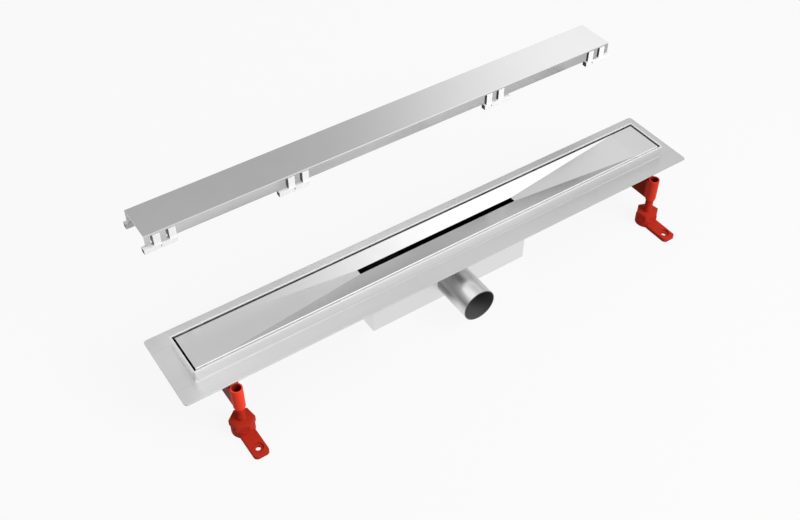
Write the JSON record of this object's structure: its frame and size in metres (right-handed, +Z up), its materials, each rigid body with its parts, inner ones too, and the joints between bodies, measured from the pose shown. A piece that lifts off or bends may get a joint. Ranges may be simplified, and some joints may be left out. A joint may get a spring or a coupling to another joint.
{
  "type": "linear shower drain",
  "caption": "Long stainless channel with a bonding flange, dished slot cover, second flat cover lifted off, siphon box with side outlet and levelling feet.",
  "frame": {"origin": "middle of the channel's length and width, on the floor under the feet", "axes": "+X along the channel, -Y the way the outlet points, +Z up"},
  "size_m": [0.835, 0.29, 0.2131],
  "materials": {
    "stainless_channel": "satin stainless sheet",
    "stainless_box": "satin stainless sheet",
    "stainless_pipe": "polished stainless tube",
    "stainless_cover": "fine brushed stainless sheet",
    "stainless_fastener": "plain stainless",
    "red_plastic": "moulded red plastic",
    "white_plastic": "moulded white plastic",
    "grey_plastic": "moulded grey plastic",
    "black_rubber": "moulded seal"
  },
  "bodies": {
    "drain": {"bracket_nuts": "stainless_fastener", "channel_body": "stainless_channel", "dip_seal": "black_rubber", "dip_tube": "grey_plastic", "flat_cover": "stainless_cover", "flat_cover_clip_back_1": "white_plastic", "flat_cover_clip_back_2": "white_plastic", "flat_cover_clip_back_3": "white_plastic", "flat_cover_clip_back_4": "white_plastic", "flat_cover_clip_front_1": "white_plastic", "flat_cover_clip_front_2": "white_plastic", "flat_cover_clip_front_3": "white_plastic", "flat_cover_clip_front_4": "white_plastic", "hair_strainer": "grey_plastic", "leg_bracket_back_left": "red_plastic", "leg_bracket_back_right": "red_plastic", "leg_bracket_front_left": "red_plastic", "leg_bracket_front_right": "red_plastic", "outlet_pipe": "stainless_pipe", "siphon_box": "stainless_box", "slot_cover": "stainless_cover", "slot_cover_clip_back_1": "white_plastic", "slot_cover_clip_back_2": "white_plastic", "slot_cover_clip_back_3": "white_plastic", "slot_cover_clip_back_4": "white_plastic", "slot_cover_clip_front_1": "white_plastic", "slot_cover_clip_front_2": "white_plastic", "slot_cover_clip_front_3": "white_plastic", "slot_cover_clip_front_4": "white_plastic", "trap_cup": "grey_plastic", "trap_seal": "black_rubber", "weld_studs": "stainless_fastener"},
    "screw_front_left": {"leg_screw_front_left": "red_plastic"},
    "pad_front_left": {"leg_pad_front_left": "red_plastic"},
    "screw_front_right": {"leg_screw_front_right": "red_plastic"},
    "pad_front_right": {"leg_pad_front_right": "red_plastic"},
    "screw_back_left": {"leg_screw_back_left": "red_plastic"},
    "pad_back_left": {"leg_pad_back_left": "red_plastic"},
    "screw_back_right": {"leg_screw_back_right": "red_plastic"},
    "pad_back_right": {"leg_pad_back_right": "red_plastic"}
  },
  "joints": [
    {"name": "height_front_left", "type": "slide", "parent": "drain", "child": "screw_front_left", "axis": [0, 0, 1], "range_m": [-0.008, 0.016]},
    {"name": "pad_turn_front_left", "type": "hinge", "parent": "screw_front_left", "child": "pad_front_left", "pos_m": [-0.351, -0.065, 0.012], "axis": [0, 0, 1], "continuous": true},
    {"name": "height_front_right", "type": "slide", "parent": "drain", "child": "screw_front_right", "axis": [0, 0, 1], "range_m": [-0.008, 0.016]},
    {"name": "pad_turn_front_right", "type": "hinge", "parent": "screw_front_right", "child": "pad_front_right", "pos_m": [0.351, -0.065, 0.012], "axis": [0, 0, 1], "continuous": true},
    {"name": "height_back_left", "type": "slide", "parent": "drain", "child": "screw_back_left", "axis": [0, 0, 1], "range_m": [-0.008, 0.016]},
    {"name": "pad_turn_back_left", "type": "hinge", "parent": "screw_back_left", "child": "pad_back_left", "pos_m": [-0.351, 0.06, 0.012], "axis": [0, 0, 1], "continuous": true},
    {"name": "height_back_right", "type": "slide", "parent": "drain", "child": "screw_back_right", "axis": [0, 0, 1], "range_m": [-0.008, 0.016]},
    {"name": "pad_turn_back_right", "type": "hinge", "parent": "screw_back_right", "child": "pad_back_right", "pos_m": [0.351, 0.06, 0.012], "axis": [0, 0, 1], "continuous": true}
  ]
}
